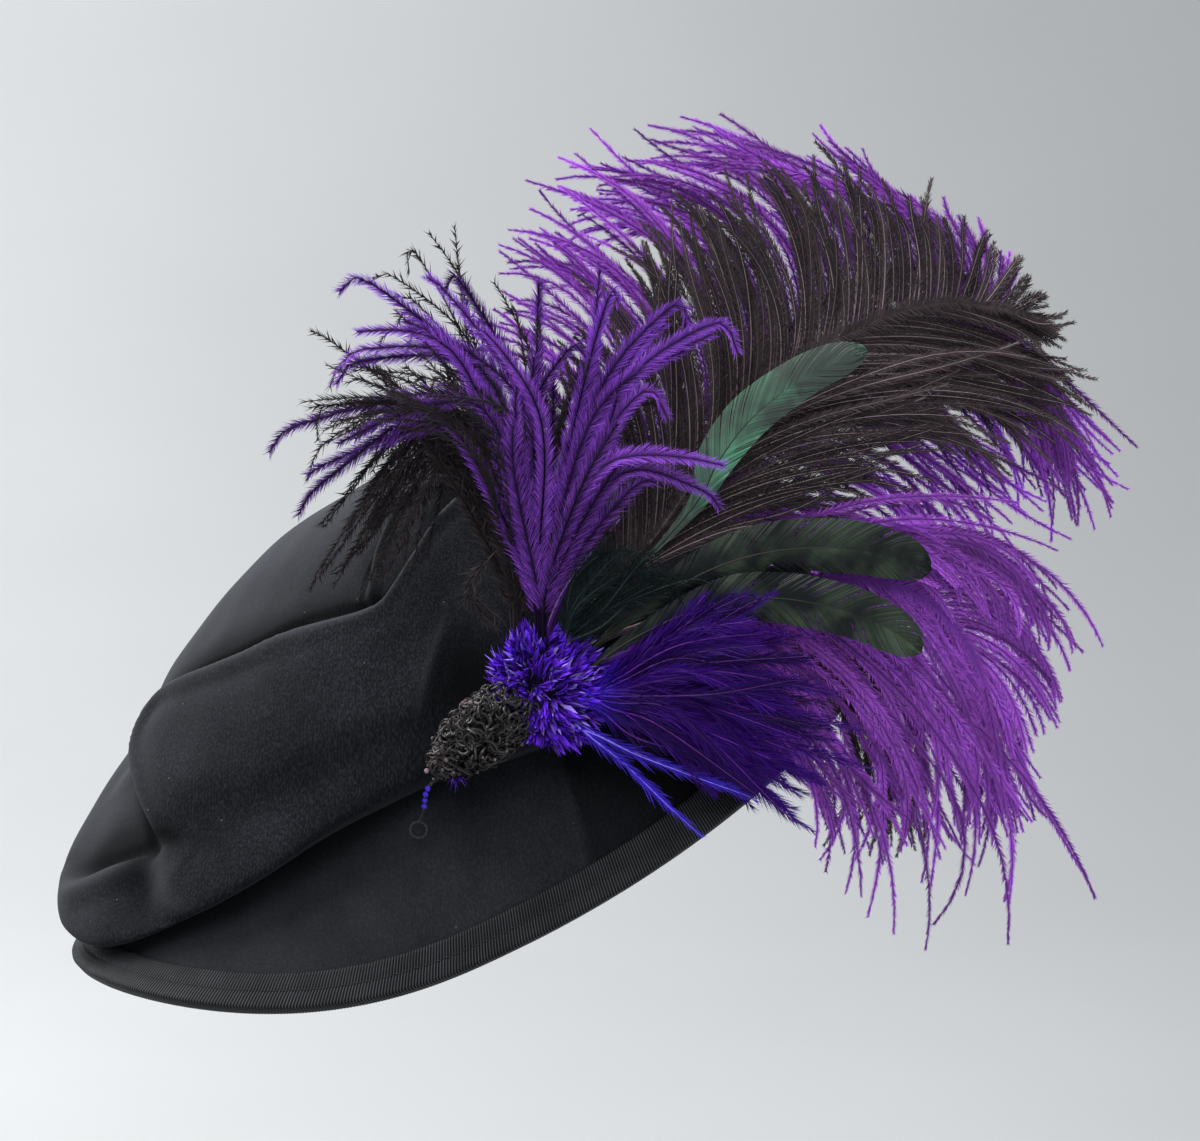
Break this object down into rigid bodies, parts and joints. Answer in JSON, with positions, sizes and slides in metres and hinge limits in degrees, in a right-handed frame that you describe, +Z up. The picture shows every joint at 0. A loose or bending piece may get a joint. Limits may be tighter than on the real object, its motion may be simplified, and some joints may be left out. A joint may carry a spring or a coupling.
{
  "type": "draped velvet hat with feather spray",
  "caption": "Draped soft-crowned hat with a wide turned-down brim bound in ribbon and a side spray of plumes.",
  "frame": {"origin": "centre of the head opening, on the axis of the wearer's head", "axes": "+Z up the axis of the wearer's head, -Y to the front, +X to the wearer's left, where the spray is pinned"},
  "size_m": [0.3034, 0.2793, 0.2688],
  "materials": {
    "velvet": "black cotton velvet, deep pile with a cool grey sheen at grazing angles",
    "ribbon": "black grosgrain ribbon, cross ribs, matt",
    "gimp": "black looped gimp cord with a few glossy beads",
    "violet_feather": "hackle dyed blue violet, soft sheen",
    "black_ostrich": "ostrich dyed black, warm charcoal where light falls through the flues",
    "purple_ostrich": "ostrich dyed purple, soft",
    "coque": "cock tail feather, black with a green gloss",
    "coque_green": "cock tail feather, iridescent green on one side of the quill"
  },
  "bodies": {
    "root": {"crown": "velvet", "brim": "velvet", "brim_binding": "ribbon", "feather_pad": "violet_feather", "gimp_wrap": "gimp", "thread_loop": "gimp", "plume_black": "black_ostrich", "plume_black_lower": "black_ostrich", "plume_purple_upper": "purple_ostrich", "plume_purple_lower": "purple_ostrich", "frond_spray_purple": "purple_ostrich", "frond_spray_black": "black_ostrich", "hackle_spray": "violet_feather", "spike_hackles": "violet_feather", "coque_down": "coque", "coque_green": "coque_green", "coque_upper": "coque", "coque_lower": "coque"}
  },
  "joints": []
}
